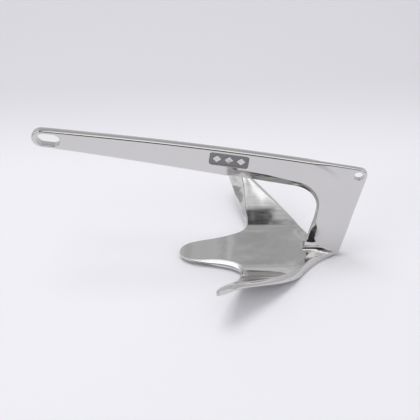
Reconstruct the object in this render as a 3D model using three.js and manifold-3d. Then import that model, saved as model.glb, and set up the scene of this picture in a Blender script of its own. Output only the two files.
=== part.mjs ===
// A claw anchor for a small boat, in polished stainless steel: a flat curved shank and a
// three-fluke claw. The real joint may be cast or welded. It is built here as a foot in a slot
// through the claw, with a weld bead on each side and one in front.
//
// Millimetres, +Z up. Shapes are drawn from a datum on the ground under the heel, where the line of
// the shank's back edge meets it: x runs aft, so the shackle end and the flukes are at negative x,
// and the anchor is symmetric about the plane y = 0. The whole group is then moved along x, so
// that its origin is on the ground under the middle of the anchor's length.

import * as THREE from 'three';
import { mergeVertices } from 'three/addons/utils/BufferGeometryUtils.js';
import { TessellateModifier } from 'three/addons/modifiers/TessellateModifier.js';
import Module from 'manifold-3d';

const at = (x, y) => new THREE.Vector2(x, y);

// ---- driving dimensions ------------------------------------------------------------------------

const GAP = 0.3;                         // clearance between neighbouring pieces
const BEYOND = 5;                        // how far a cutting tool runs past the face it cuts
const POINT_SPACING = 4;                 // along every outline

// shank, in x and z
const SHANK_HALF = 4.2;                  // half the plate's thickness
const EYE = at(-304.4, 168.3);
const EYE_RADIUS = 10.8;
const EYE_TOP_SLOPE = -0.131;
const EYE_BOTTOM_SLOPE = -0.194;
const TOP_EDGE_CONTROL = at(-133, 156.7);
const UNDERSIDE_CONTROL = at(-245, 145.8);
const BEAM_SLOPE = -0.235;               // of the straight part of the underside
const BEAM_STRAIGHT_FROM = -140;
const BEVEL_START = -120;                // the underside's bevel fades in from here
const BEVEL_FULL = -100;
const BEVEL_EASE = -78;
const ARCH = at(-49.9, 71.7);            // centre of the rounded inner corner
const ARCH_RADIUS = 28;
const BACK_LEAN = 0.285;                 // x gained per unit of height, both edges of the leg
const LEG_WIDTH = 40.4;                  // measured level
const LEG_BEVEL_TOP = 56;
const LEG_BEVEL_FULL = 28;
const FLARE_CONTROL_HEIGHT = 17;
const FOOT_FRONT = -38.2;                // front of the foot in the claw
const HEEL_LIFT = 3.4;                   // the heel's corner clears the ground by this much
const HEEL_LIFT_START = -20;
const EAR_HEIGHT = 111.5;                // centre of the round outer corner
const EAR_RADIUS = 9;
const EAR_TOP_SLOPE = -0.232;
const WEB_RADIUS = 64;                   // outside this, about the arch centre, the plate is thinner
const WEB_RELIEF = 1.4;                  // taken off each side there
const WEB_RELIEF_REACH = 110;
const WEB_FROM = -0.2;                   // and between these angles
const WEB_TO = 1.2;

// bevels where the faces meet the outline: width across the face, depth from the face
const EDGE_BREAK = { width: 1.2, depth: 1.2 };
const BEAM_BEVEL = { width: 10.6, depth: 1.9 };
const ARCH_BEVEL_IN = { width: 8.2, depth: 2.2 };
const ARCH_BEVEL_OUT = { width: 2.4, depth: 1.8 };
const ROOT_BEVEL = { width: 15, depth: 2.7 };

// openings in the shank
const SLOT_LENGTH = 24;
const SLOT_WIDTH = 14.2;
const SLOT_MIDDLE = at(-297.4, 166.9);
const SLOT_TURN = -0.16;                 // radians, along the beam
const TRIP_HOLE_RADIUS = 4.7;

// recessed marking panel on the port face, with a row of plain raised lozenges
const PANEL_MIDDLE = at(-111.5, 136.2);
const PANEL_LENGTH = 41.5;
const PANEL_HEIGHT = 16;
const PANEL_CORNER = 3;
const PANEL_TURN = -0.19;
const PANEL_DEPTH = 0.9;
const MARK_COUNT = 3;
const MARK_PITCH = 12.6;
const MARK_HALF = 5.4;
const MARK_HEIGHT = 0.5;

// claw, in x and y with its skins in z
const PALM_TOP = 11.8;                   // upper skin of the flat middle
const WING_BENDS = [                     // the wings turn up at the first two, and ease off again
  { side: 36, softness: 3, slope: 0.36 },
  { side: 60, softness: 6, slope: 0.44 },
  { side: 91, softness: 4, slope: -0.44 },
];
const WING_THICKNESS = 6.4;              // square to its upper skin
const THINNING_START = 26;               // |y| between which the palm thins to that
const THINNING_END = 72;
const TRAIL_SETBACK = 8.6;               // the trailing edges run this far ahead of the heel
const TRAIL_BULGE = 7;
const TRAIL_BULGE_START = 8;
const TRAIL_BULGE_END = 96;
const TRAIL_END = 108;
const HEEL_FLARE = 22;                   // and sweep aft beside the shank
const HEEL_FLARE_REACH = 5.5;
const HEEL_FLARE_FROM = 5;
const HEEL_ROLL = 8.5;                   // the upper skin is rolled down beside the heel
const HEEL_ROLL_REACH = 13;              // fading over this distance along the trailing edge
const HEEL_ROLL_WIDTH = 6;               // and over this distance in from it
const FLUKE_TIP = at(-174.7, 0);
const FLUKE_DROP = 4.6;                  // the fluke's upper skin falls this far to its tip
const FLUKE_DROP_START = -112;
const FLUKE_LIFT = 3.9;                  // its lower skin rises this far
const FLUKE_LIFT_START = -125;
const FLUKE_LIFT_LENGTH = 28;
const FLUKE_FADE_START = 24;             // |y| where the fluke's own slopes fade into the palm
const FLUKE_FADE = 20;
const TRAIL_BEVEL_HEEL = { width: 1, depth: 1, under: 1 };
const TRAIL_BEVEL = { width: 2.2, depth: 5, under: 1 };
const TRAIL_BEVEL_START = 9;             // |y| between which it grows to that
const TRAIL_BEVEL_FULL = 24;
const TRAIL_BEVEL_EASE = 96;             // and from here it shrinks again
const CLAW_LONGEST_EDGE = 10;

// From a wing tip along its leading edge, round the crotch and up the fluke's side. The upper
// skin is bevelled to that width and depth, a broad facet on the wings, and the lower skin's
// bevel is as wide as it is deep.
const LEADING_POINTS = [
  { point: at(-119.3, 108.6), width: 1, depth: 1, under: 1 },
  { point: at(-122.2, 110.9), width: 1.4, depth: 1.4, under: 1 },
  { point: at(-124.6, 109), width: 2.2, depth: 2.2, under: 1 },
  { point: at(-124.9, 103), width: 4.5, depth: 4.2, under: 1 },
  { point: at(-123.6, 95), width: 9.5, depth: 5.2, under: 1 },
  { point: at(-120.3, 84.2), width: 14, depth: 5.6, under: 1.2 },
  { point: at(-116.1, 72.3), width: 12.5, depth: 5.6, under: 1.2 },
  { point: at(-111, 61.3), width: 8.5, depth: 5.4, under: 1.5 },
  { point: at(-106.5, 51.3), width: 4.4, depth: 5, under: 2 },
  { point: at(-103.4, 40), width: 2.6, depth: 5.4, under: 3 },
  { point: at(-105.4, 33.5), width: 3.6, depth: 5.6, under: 4 },
  { point: at(-111.5, 28.8), width: 4.2, depth: 5.6, under: 4.2 },
  { point: at(-119, 25.6), width: 4.2, depth: 5.2, under: 4 },
  { point: at(-128.3, 22.8), width: 4.2, depth: 4.8, under: 3.6 },
  { point: at(-140, 20.4), width: 3.8, depth: 4.2, under: 3.2 },
  { point: at(-151, 18.2), width: 2.8, depth: 2.8, under: 2 },
  { point: at(-162, 14.8), width: 1.6, depth: 1.6, under: 1.2 },
  { point: at(-169, 10.8), width: 1.2, depth: 1.2, under: 1 },
  { point: at(-173.4, 5.6), width: 1.2, depth: 1.2, under: 1 },
  { point: FLUKE_TIP, width: 1.2, depth: 1.2, under: 1 },
];

// weld beads on the palm round the foot
const BEAD_TOE = 0.6;                    // thickness at the outer edge of a bead
const BEAD_GAP = 0.6;                    // under a bead, where the palm is curved
const SIDE_BEAD = 4.4;                   // width and height of the beads beside the foot
const FRONT_BEAD_WIDTH = 6.5;
const FRONT_BEAD_HEIGHT = 3.2;
const FRONT_BEAD_HALF = 8.9;

// ---- small helpers -----------------------------------------------------------------------------

const clamp01 = (t) => Math.min(1, Math.max(0, t));
const smooth = (t) => clamp01(t) ** 2 * (3 - 2 * clamp01(t));
const softRamp = (value, start, softness) =>
  softness * Math.log1p(Math.exp((value - start) / softness));
const normalTo = (slope) => at(-slope, 1).normalize();
const ahead = (centre, direction, distance) => centre.clone().addScaledVector(direction, distance);
const mirrored = (points) => points.map((p) => at(p.x, -p.y)).reverse();

// An arc between two directions out of a centre; drawn clockwise when turning is negative.
function arc(centre, radius, from, to, turning) {
  return new THREE.EllipseCurve(centre.x, centre.y, radius, radius,
    from.angle(), to.angle(), turning < 0);
}

// ---- closed bodies between two skins -----------------------------------------------------------

// The loop moved inwards, each point by its own distance; the loop runs anticlockwise.
function insetLoop(loop, distances) {
  return loop.map((point, i) => {
    const before = loop[(i + loop.length - 1) % loop.length];
    const after = loop[(i + 1) % loop.length];
    const along = after.clone().sub(before).normalize();
    return ahead(point, at(-along.y, along.x), distances[i]);
  });
}

// One skin: the loop filled, split into small triangles and lifted to height(x, y).
function skin(loop, height, longestEdge, facesDown) {
  const flat = new THREE.ShapeGeometry(new THREE.Shape(loop));
  const position = new TessellateModifier(longestEdge, 14).modify(flat).getAttribute('position');
  const corners = [];
  for (let face = 0; face < position.count; face += 3) {
    const order = facesDown ? [face, face + 2, face + 1] : [face, face + 1, face + 2];
    for (const i of order) {
      const x = position.getX(i);
      const y = position.getY(i);
      corners.push(x, y, height(x, y));
    }
  }
  return corners;
}

// The rim: quads between loops of 3-D points, from the lower skin's edge to the upper skin's.
function rim(loops) {
  const corners = [];
  for (let k = 0; k + 1 < loops.length; k++) {
    const low = loops[k];
    const high = loops[k + 1];
    low.forEach((start, i) => {
      const j = (i + 1) % low.length;
      for (const p of [start, low[j], high[j], start, high[j], high[i]]) {
        corners.push(p.x, p.y, p.z);
      }
    });
  }
  return corners;
}

// A body over one outline, with bevels { width, depth } at each of the outline's points on the
// upper side, and others on the lower side where lowerBevels are given.
function plateBody({ outline, bevels, lowerBevels = bevels, lower, upper, longestEdge }) {
  const upperFace = insetLoop(outline, bevels.map((bevel) => bevel.width));
  const lowerFace = insetLoop(outline, lowerBevels.map((bevel) => bevel.width));
  const lift = (loop, height, rises) =>
    loop.map((p, i) => new THREE.Vector3(p.x, p.y, height(p.x, p.y) + rises[i]));
  const level = outline.map(() => 0);
  const corners = [
    ...skin(lowerFace, lower, longestEdge, true),
    ...rim([
      lift(lowerFace, lower, level),
      lift(outline, lower, lowerBevels.map((bevel) => bevel.depth)),
      lift(outline, upper, bevels.map((bevel) => -bevel.depth)),
      lift(upperFace, upper, level),
    ]),
    ...skin(upperFace, upper, longestEdge, false),
  ];
  const geometry = new THREE.BufferGeometry();
  geometry.setAttribute('position', new THREE.Float32BufferAttribute(corners, 3));
  return mergeVertices(geometry, 1e-3);
}

// ---- joining and cutting -----------------------------------------------------------------------

const wasm = await Module();
wasm.setup();

function solid(geometry) {
  const bare = geometry.clone();
  bare.deleteAttribute('normal');
  bare.deleteAttribute('uv');
  const merged = mergeVertices(bare, 1e-3);
  return new wasm.Manifold(new wasm.Mesh({
    numProp: 3,
    vertProperties: new Float32Array(merged.getAttribute('position').array),
    triVerts: new Uint32Array(merged.getIndex().array),
  }));
}

function geometryOf(manifold) {
  const mesh = manifold.getMesh();
  const geometry = new THREE.BufferGeometry();
  geometry.setAttribute('position', new THREE.BufferAttribute(mesh.vertProperties, 3));
  geometry.setIndex(new THREE.BufferAttribute(mesh.triVerts, 1));
  geometry.computeVertexNormals();
  return geometry;
}

// The same body with its drawing plane stood up: drawn (x, y) becomes (x, z), and the port face,
// at negative y, is the one that was the upper skin.
const standUp = (geometry) => geometry.rotateX(Math.PI / 2);

// A straight-sided body over a shape drawn in x and z, from y = port to y = starboard.
function sideTool(shape, port, starboard) {
  const depth = starboard - port;
  const geometry = new THREE.ExtrudeGeometry(shape, { depth, bevelEnabled: false, curveSegments: 20 });
  return solid(standUp(geometry).translate(0, starboard, 0));
}

// ---- shank -------------------------------------------------------------------------------------

const backEdge = (z) => at(z * BACK_LEAN, z);
const frontEdge = (z) => at(z * BACK_LEAN - LEG_WIDTH, z);
const legBack = at(1, -BACK_LEAN).normalize();
const earCentre = ahead(backEdge(EAR_HEIGHT), at(-1, 0), EAR_RADIUS / legBack.x);

// The outline anticlockwise from the heel, as stretches whose bevel changes from one end's to the
// other's.
function shankStretches() {
  const eyeTop = normalTo(EYE_TOP_SLOPE);
  const eyeBottom = normalTo(EYE_BOTTOM_SLOPE).negate();
  const earTop = normalTo(EAR_TOP_SLOPE);
  const beamUp = normalTo(BEAM_SLOPE);
  const archStart = ahead(ARCH, beamUp, ARCH_RADIUS);
  const archEnd = ahead(ARCH, legBack, ARCH_RADIUS);
  const onUnderside = (x) => at(x, archStart.y + (x - archStart.x) * BEAM_SLOPE);
  const topStart = ahead(earCentre, earTop, EAR_RADIUS);
  const topEnd = ahead(EYE, eyeTop, EYE_RADIUS);
  const undersideStart = ahead(EYE, eyeBottom, EYE_RADIUS);
  const straightStart = onUnderside(BEAM_STRAIGHT_FROM);
  const flareStart = frontEdge(LEG_BEVEL_FULL - 4);
  const footTop = at(FOOT_FRONT, PALM_TOP);
  const footBottom = at(FOOT_FRONT, 0);
  const liftStart = at(HEEL_LIFT_START, 0);
  const heel = backEdge(HEEL_LIFT);
  const line = (from, to) => new THREE.LineCurve(from, to);
  return [
    [line(heel, ahead(earCentre, legBack, EAR_RADIUS)), EDGE_BREAK, EDGE_BREAK],
    [arc(earCentre, EAR_RADIUS, legBack, earTop, 1), EDGE_BREAK, EDGE_BREAK],
    [new THREE.QuadraticBezierCurve(topStart, TOP_EDGE_CONTROL, topEnd), EDGE_BREAK, EDGE_BREAK],
    [arc(EYE, EYE_RADIUS, eyeTop, eyeBottom, 1), EDGE_BREAK, EDGE_BREAK],
    [new THREE.QuadraticBezierCurve(undersideStart, UNDERSIDE_CONTROL, straightStart),
      EDGE_BREAK, EDGE_BREAK],
    [line(straightStart, onUnderside(BEVEL_START)), EDGE_BREAK, EDGE_BREAK],
    [line(onUnderside(BEVEL_START), onUnderside(BEVEL_FULL)), EDGE_BREAK, BEAM_BEVEL],
    [line(onUnderside(BEVEL_FULL), onUnderside(BEVEL_EASE)), BEAM_BEVEL, BEAM_BEVEL],
    [line(onUnderside(BEVEL_EASE), archStart), BEAM_BEVEL, ARCH_BEVEL_IN],
    [arc(ARCH, ARCH_RADIUS, beamUp, legBack, -1), ARCH_BEVEL_IN, ARCH_BEVEL_OUT],
    [line(archEnd, frontEdge(LEG_BEVEL_TOP)), ARCH_BEVEL_OUT, ARCH_BEVEL_OUT],
    [line(frontEdge(LEG_BEVEL_TOP), frontEdge(LEG_BEVEL_FULL)), ARCH_BEVEL_OUT, ROOT_BEVEL],
    [line(frontEdge(LEG_BEVEL_FULL), flareStart), ROOT_BEVEL, ROOT_BEVEL],
    [new THREE.QuadraticBezierCurve(flareStart, frontEdge(FLARE_CONTROL_HEIGHT), footTop),
      ROOT_BEVEL, EDGE_BREAK],
    [line(footTop, footBottom), EDGE_BREAK, EDGE_BREAK],
    [line(footBottom, liftStart), EDGE_BREAK, EDGE_BREAK],
    [line(liftStart, heel), EDGE_BREAK, EDGE_BREAK],
  ];
}

function shankPlate() {
  const outline = [];
  const bevels = [];
  for (const [curve, first, last] of shankStretches()) {
    const count = Math.max(1, Math.ceil(curve.getLength() / POINT_SPACING));
    for (let i = 0; i < count; i++) {
      const blend = smooth(i / count);
      outline.push(curve.getPointAt(i / count));
      bevels.push({
        width: THREE.MathUtils.lerp(first.width, last.width, blend),
        depth: THREE.MathUtils.lerp(first.depth, last.depth, blend),
      });
    }
  }
  const lower = () => -SHANK_HALF;
  const upper = () => SHANK_HALF;
  return solid(standUp(plateBody({ outline, bevels, lower, upper, longestEdge: Infinity })));
}

// Moves a shape's curves from its own middle to a place in x and z.
function placed(points, middle, turn) {
  return new THREE.Shape(points.map((p) => p.clone().rotateAround(at(0, 0), turn).add(middle)));
}

// A rectangle with round corners, about its own middle.
function roundedRectangle(length, height, corner) {
  const x = length / 2 - corner;
  const y = height / 2 - corner;
  const path = new THREE.Path();
  path.absarc(x, y, corner, 0, Math.PI / 2);
  path.absarc(-x, y, corner, Math.PI / 2, Math.PI);
  path.absarc(-x, -y, corner, Math.PI, 1.5 * Math.PI);
  path.absarc(x, -y, corner, 1.5 * Math.PI, 2 * Math.PI);
  return path.getPoints(10);
}

function shackleSlot() {
  const outline = roundedRectangle(SLOT_LENGTH, SLOT_WIDTH, SLOT_WIDTH / 2);
  return sideTool(placed(outline, SLOT_MIDDLE, SLOT_TURN), -SHANK_HALF - BEYOND, SHANK_HALF + BEYOND);
}

function tripHole() {
  const circle = new THREE.Path().absarc(0, 0, TRIP_HOLE_RADIUS, 0, 2 * Math.PI).getPoints(36);
  circle.pop();
  return sideTool(placed(circle, earCentre, 0), -SHANK_HALF - BEYOND, SHANK_HALF + BEYOND);
}

// What is taken off one side of the outer corner, from the web radius outwards.
function webRelief(side) {
  const shape = new THREE.Shape();
  shape.absarc(ARCH.x, ARCH.y, WEB_RADIUS, WEB_FROM, WEB_TO, false);
  shape.absarc(ARCH.x, ARCH.y, WEB_RELIEF_REACH, WEB_TO, WEB_FROM, true);
  const inner = side * (SHANK_HALF - WEB_RELIEF);
  const outer = side * (SHANK_HALF + BEYOND);
  return sideTool(shape, Math.min(inner, outer), Math.max(inner, outer));
}

function markingPanel() {
  const outline = roundedRectangle(PANEL_LENGTH, PANEL_HEIGHT, PANEL_CORNER);
  const shape = placed(outline, PANEL_MIDDLE, PANEL_TURN);
  return sideTool(shape, -SHANK_HALF - BEYOND, -SHANK_HALF + PANEL_DEPTH);
}

// One lozenge of the row, standing on the panel's floor.
function mark(index) {
  const offset = (index - (MARK_COUNT - 1) / 2) * MARK_PITCH;
  const lozenge = [at(MARK_HALF, 0), at(0, MARK_HALF), at(-MARK_HALF, 0), at(0, -MARK_HALF)];
  const shape = placed(lozenge.map((p) => p.add(at(offset, 0))), PANEL_MIDDLE, PANEL_TURN);
  const floor = -SHANK_HALF + PANEL_DEPTH;
  return sideTool(shape, floor - MARK_HEIGHT, floor + MARK_HEIGHT);
}

function shankGeometry() {
  let shank = shankPlate()
    .subtract(shackleSlot())
    .subtract(tripHole())
    .subtract(webRelief(-1))
    .subtract(webRelief(1))
    .subtract(markingPanel());
  for (let i = 0; i < MARK_COUNT; i++) {
    shank = shank.add(mark(i));
  }
  return geometryOf(shank);
}

// ---- claw --------------------------------------------------------------------------------------

// The trailing edge: x at a distance |y| from the middle plane.
function trailingX(side) {
  const across = clamp01((side - TRAIL_BULGE_START) / (TRAIL_BULGE_END - TRAIL_BULGE_START));
  const flare = HEEL_FLARE * Math.exp(-Math.max(side, HEEL_FLARE_FROM) / HEEL_FLARE_REACH);
  return -TRAIL_SETBACK - side + TRAIL_BULGE * Math.sin(Math.PI * across) ** 2 + flare;
}

function trailBevel(side) {
  const grown = smooth((side - TRAIL_BEVEL_START) / (TRAIL_BEVEL_FULL - TRAIL_BEVEL_START))
    * smooth((TRAIL_END - side) / (TRAIL_END - TRAIL_BEVEL_EASE));
  const between = (size) => THREE.MathUtils.lerp(TRAIL_BEVEL_HEEL[size], TRAIL_BEVEL[size], grown);
  return { width: between('width'), depth: between('depth'), under: between('under') };
}

// The outline of one half of the claw, from the heel round to the fluke's tip, as points with
// their bevels.
function clawHalf() {
  const half = [];
  const steps = Math.ceil((TRAIL_END * Math.SQRT2) / POINT_SPACING);
  for (let i = 1; i < steps; i++) {
    const side = (TRAIL_END * i) / steps;
    half.push({ point: at(trailingX(side), side), ...trailBevel(side) });
  }
  const curve = new THREE.SplineCurve(LEADING_POINTS.map((entry) => entry.point));
  const stretches = LEADING_POINTS.length - 1;
  for (let k = 0; k < stretches; k++) {
    const from = LEADING_POINTS[k];
    const to = LEADING_POINTS[k + 1];
    const count = Math.ceil(from.point.distanceTo(to.point) / POINT_SPACING);
    for (let i = 0; i < count; i++) {
      const between = (size) => THREE.MathUtils.lerp(from[size], to[size], i / count);
      half.push({
        point: curve.getPoint((k + i / count) / stretches),
        width: between('width'),
        depth: between('depth'),
        under: between('under'),
      });
    }
  }
  return half;
}

function clawRing() {
  const starboard = clawHalf();
  const port = starboard.map((entry) => ({ ...entry, point: at(entry.point.x, -entry.point.y) }));
  const heel = { point: at(trailingX(0), 0), ...trailBevel(0) };
  return [heel, ...starboard, LEADING_POINTS.at(-1), ...port.reverse()];
}

// How far the wings have turned up at a distance |y| from the middle plane.
function wingRise(side) {
  return WING_BENDS.reduce(
    (rise, bend) => rise + bend.slope * softRamp(side, bend.side, bend.softness), 0);
}

// The slope of the wings there, as an angle.
function wingAngle(side) {
  return Math.atan(WING_BENDS.reduce(
    (slope, bend) => slope + bend.slope / (1 + Math.exp((bend.side - side) / bend.softness)), 0));
}

function heelRoll(x, side) {
  const inFromEdge = Math.max(0, (trailingX(side) - x) * Math.SQRT1_2);
  return HEEL_ROLL * Math.exp(-side / HEEL_ROLL_REACH) * Math.exp(-((inFromEdge / HEEL_ROLL_WIDTH) ** 2));
}

function clawTop(x, y) {
  const side = Math.abs(y);
  const towardsTip = smooth((FLUKE_DROP_START - x) / (FLUKE_DROP_START - FLUKE_TIP.x));
  const onFluke = 1 - smooth((side - FLUKE_FADE_START) / FLUKE_FADE);
  return PALM_TOP + wingRise(side) - heelRoll(x, side) - FLUKE_DROP * towardsTip * onFluke;
}

// Square to the upper skin.
function clawThickness(side) {
  const thinning = smooth((side - THINNING_START) / (THINNING_END - THINNING_START));
  return THREE.MathUtils.lerp(PALM_TOP, WING_THICKNESS, thinning);
}

// Height of the lower skin under a point of the outline, measured upright.
function clawBottom(x, y) {
  const side = Math.abs(y);
  const towardsTip = smooth((FLUKE_LIFT_START - x) / FLUKE_LIFT_LENGTH);
  const onFluke = 1 - smooth((side - FLUKE_FADE_START) / FLUKE_FADE);
  const towardsHeel = clamp01((x - HEEL_LIFT_START) / -HEEL_LIFT_START);
  const uprightThickness = clawThickness(side) / Math.cos(wingAngle(side));
  return PALM_TOP + wingRise(side) - uprightThickness
    + FLUKE_LIFT * towardsTip * onFluke + HEEL_LIFT * towardsHeel;
}

// Leans the rim of the turned-up wings square to their skins: what lies below the upper skin
// moves outwards by its depth.
function leanOut(geometry) {
  const position = geometry.getAttribute('position');
  for (let i = 0; i < position.count; i++) {
    const y = position.getY(i);
    const side = Math.abs(y);
    const depth = Math.max(0, clawTop(position.getX(i), y) - position.getZ(i));
    const angle = wingAngle(side);
    position.setY(i, y + Math.sign(y) * depth * Math.cos(angle) * Math.sin(angle));
    position.setZ(i, position.getZ(i) + depth * Math.sin(angle) ** 2);
  }
  return geometry;
}

// The claw is open at the heel: the shank's foot stands in this slot, down to the ground.
function footSlot() {
  const half = SHANK_HALF + GAP;
  const low = at(FOOT_FRONT - GAP, -BEYOND);
  const high = at(BEYOND, PALM_TOP + BEYOND);
  const shape = new THREE.Shape([low, at(high.x, low.y), high, at(low.x, high.y)]);
  return sideTool(shape, -half, half);
}

function clawGeometry() {
  const ring = clawRing();
  const body = plateBody({
    outline: ring.map((entry) => entry.point),
    bevels: ring.map(({ width, depth }) => ({ width, depth })),
    lowerBevels: ring.map(({ under }) => ({ width: under, depth: under })),
    lower: clawBottom,
    upper: clawTop,
    longestEdge: CLAW_LONGEST_EDGE,
  });
  return geometryOf(solid(leanOut(body)).subtract(footSlot()));
}

// ---- weld beads --------------------------------------------------------------------------------

// A bead lies on the palm over its outline, and is height(x, y) thick.
function beadGeometry(outline, thickness) {
  const lower = (x, y) => clawTop(x, y) + BEAD_GAP;
  const upper = (x, y) => lower(x, y) + thickness(x, y);
  const bevels = outline.map(() => ({ width: 0, depth: 0 }));
  const body = plateBody({ outline, bevels, lower, upper, longestEdge: 4 });
  return geometryOf(solid(body));
}

// A concave fillet, from its full height at the shank to its toe.
const fillet = (across, height) => BEAD_TOE + (height - BEAD_TOE) * (1 - clamp01(across)) ** 2;

function evenly(corners, spacing) {
  const points = [];
  corners.forEach((corner, i) => {
    const next = corners[(i + 1) % corners.length];
    const count = Math.ceil(corner.distanceTo(next) / spacing);
    for (let k = 0; k < count; k++) {
      points.push(corner.clone().lerp(next, k / count));
    }
  });
  return points;
}

function sideBead(side) {
  const root = SHANK_HALF + GAP;
  const toe = root + SIDE_BEAD;
  const corners = [
    at(FOOT_FRONT, root),
    at(trailingX(root) - 1, root),
    at(trailingX(toe) - 1, toe),
    at(FOOT_FRONT, toe),
  ];
  const starboard = evenly(corners, 3);
  const outline = side > 0 ? starboard : mirrored(starboard);
  return beadGeometry(outline, (x, y) => fillet((Math.abs(y) - root) / SIDE_BEAD, SIDE_BEAD));
}

function frontBead() {
  const root = FOOT_FRONT - GAP;
  const corners = [
    at(root, FRONT_BEAD_HALF),
    at(root - FRONT_BEAD_WIDTH * 0.6, FRONT_BEAD_HALF * 0.9),
    at(root - FRONT_BEAD_WIDTH, FRONT_BEAD_HALF * 0.4),
    at(root - FRONT_BEAD_WIDTH, -FRONT_BEAD_HALF * 0.4),
    at(root - FRONT_BEAD_WIDTH * 0.6, -FRONT_BEAD_HALF * 0.9),
    at(root, -FRONT_BEAD_HALF),
  ];
  const thickness = (x, y) => {
    const aheadOfFoot = (root - x) / FRONT_BEAD_WIDTH;
    const besideFoot = (Math.abs(y) - SHANK_HALF) / SIDE_BEAD;
    return fillet(Math.hypot(aheadOfFoot, Math.max(0, besideFoot)), FRONT_BEAD_HEIGHT);
  };
  return beadGeometry(evenly(corners, 3), thickness);
}

// ---- assembly ----------------------------------------------------------------------------------

const polishedSteel = new THREE.MeshStandardMaterial({
  name: 'polished_steel',
  color: new THREE.Color(0.72, 0.71, 0.69),
  metalness: 1,
  roughness: 0.22,
});
const weldSteel = new THREE.MeshStandardMaterial({
  name: 'weld_steel',
  color: new THREE.Color(0.66, 0.65, 0.63),
  metalness: 1,
  roughness: 0.35,
});

const anchor = new THREE.Group();
anchor.name = 'claw_anchor';

function addPiece(name, geometry, material) {
  const mesh = new THREE.Mesh(geometry, material);
  mesh.name = name;
  anchor.add(mesh);
}

addPiece('shank', shankGeometry(), polishedSteel);
addPiece('claw', clawGeometry(), polishedSteel);
addPiece('weld_port', sideBead(-1), weldSteel);
addPiece('weld_starboard', sideBead(1), weldSteel);
addPiece('weld_front', frontBead(), weldSteel);

const extent = new THREE.Box3().setFromObject(anchor);
anchor.position.x = -(extent.min.x + extent.max.x) / 2;

export default anchor;
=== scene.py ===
"""Looks for the claw anchor: polished stainless steel on a pale studio floor.

The shank, the claw and the weld beads are rebuilt here from the same dimensions as the CAD, in
millimetres, as dense meshes with rounded edges. x runs aft from a datum on the ground under the
heel, and SHIFT takes it to the model's frame.
"""

import math

import bpy
import bmesh
import numpy as np
from mathutils import Matrix, Vector
from mathutils.geometry import delaunay_2d_cdt


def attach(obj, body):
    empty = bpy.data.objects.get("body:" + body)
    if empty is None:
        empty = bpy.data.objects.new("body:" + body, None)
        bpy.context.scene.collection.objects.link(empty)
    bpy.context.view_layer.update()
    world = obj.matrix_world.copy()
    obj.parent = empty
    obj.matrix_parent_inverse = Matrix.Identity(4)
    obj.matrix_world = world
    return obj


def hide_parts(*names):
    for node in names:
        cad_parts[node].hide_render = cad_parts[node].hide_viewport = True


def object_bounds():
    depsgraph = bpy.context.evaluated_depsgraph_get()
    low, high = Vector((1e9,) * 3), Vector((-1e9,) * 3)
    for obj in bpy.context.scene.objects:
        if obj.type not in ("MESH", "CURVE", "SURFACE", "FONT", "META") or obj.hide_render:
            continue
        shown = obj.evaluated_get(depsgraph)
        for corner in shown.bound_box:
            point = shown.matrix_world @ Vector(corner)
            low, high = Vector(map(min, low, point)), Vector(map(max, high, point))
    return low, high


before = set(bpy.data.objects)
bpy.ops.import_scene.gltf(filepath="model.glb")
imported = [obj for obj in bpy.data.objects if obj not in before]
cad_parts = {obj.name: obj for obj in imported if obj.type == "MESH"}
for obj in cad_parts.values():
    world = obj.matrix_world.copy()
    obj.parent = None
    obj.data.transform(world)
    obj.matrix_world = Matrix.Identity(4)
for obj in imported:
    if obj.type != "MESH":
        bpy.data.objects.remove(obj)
cad_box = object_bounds()

MM = 0.001

# ---- shank dimensions, in x and z ---------------------------------------------------------------

SHANK_HALF = 4.2
EYE = (-304.4, 168.3)
EYE_RADIUS = 10.8
EYE_TOP_SLOPE = -0.131
EYE_BOTTOM_SLOPE = -0.194
TOP_EDGE_CONTROL = (-133.0, 156.7)
UNDERSIDE_CONTROL = (-245.0, 145.8)
BEAM_SLOPE = -0.235
BEAM_STRAIGHT_FROM = -140.0
BEVEL_START = -120.0
BEVEL_FULL = -100.0
BEVEL_EASE = -78.0
ARCH = (-49.9, 71.7)
ARCH_RADIUS = 28.0
BACK_LEAN = 0.285
LEG_WIDTH = 40.4
LEG_BEVEL_TOP = 56.0
LEG_BEVEL_FULL = 28.0
FLARE_CONTROL_HEIGHT = 17.0
FOOT_FRONT = -38.2
HEEL_LIFT = 3.4
HEEL_LIFT_START = -20.0
EAR_HEIGHT = 111.5
EAR_RADIUS = 9.0
EAR_TOP_SLOPE = -0.232
WEB_RADIUS = 64.0
WEB_RELIEF = 1.4
WEB_STEP = 8.0

SLOT_LENGTH = 24.0
SLOT_WIDTH = 14.2
SLOT_MIDDLE = (-297.4, 166.9)
SLOT_TURN = -0.16
TRIP_HOLE_RADIUS = 4.7

PANEL_MIDDLE = (-111.5, 136.2)
PANEL_LENGTH = 41.5
PANEL_HEIGHT = 16.0
PANEL_CORNER = 3.0
PANEL_TURN = -0.19
PANEL_DEPTH = 0.9
PANEL_WALL = 0.7
MARK_COUNT = 3
MARK_PITCH = 12.6
MARK_HALF = 5.4
MARK_HEIGHT = 0.5
MARK_WALL = 0.7

# ---- claw dimensions, in x and y ----------------------------------------------------------------

PALM_TOP = 11.8
WING_BENDS = ((36.0, 3.0, 0.36), (60.0, 6.0, 0.44), (91.0, 4.0, -0.44))  # |y|, softness, slope
WING_DISH = 0.3          # the wings are hollowed a little between their edges
WING_THICKNESS = 6.4
THINNING_START = 26.0
THINNING_END = 72.0
TRAIL_SETBACK = 8.6
TRAIL_BULGE = 7.0
TRAIL_BULGE_START = 8.0
TRAIL_BULGE_END = 96.0
TRAIL_END = 108.0
HEEL_FLARE = 22.0
HEEL_FLARE_REACH = 5.5
HEEL_FLARE_FROM = 5.0
TRAIL_BEVEL_START = 9.0
TRAIL_BEVEL_FULL = 24.0
TRAIL_BEVEL_EASE = 96.0
HEEL_ROLL = 8.5
HEEL_ROLL_REACH = 13.0
HEEL_ROLL_WIDTH = 6.0
FLUKE_TIP = (-174.7, 0.0)
FLUKE_DROP = 4.6
FLUKE_DROP_START = -112.0
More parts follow.
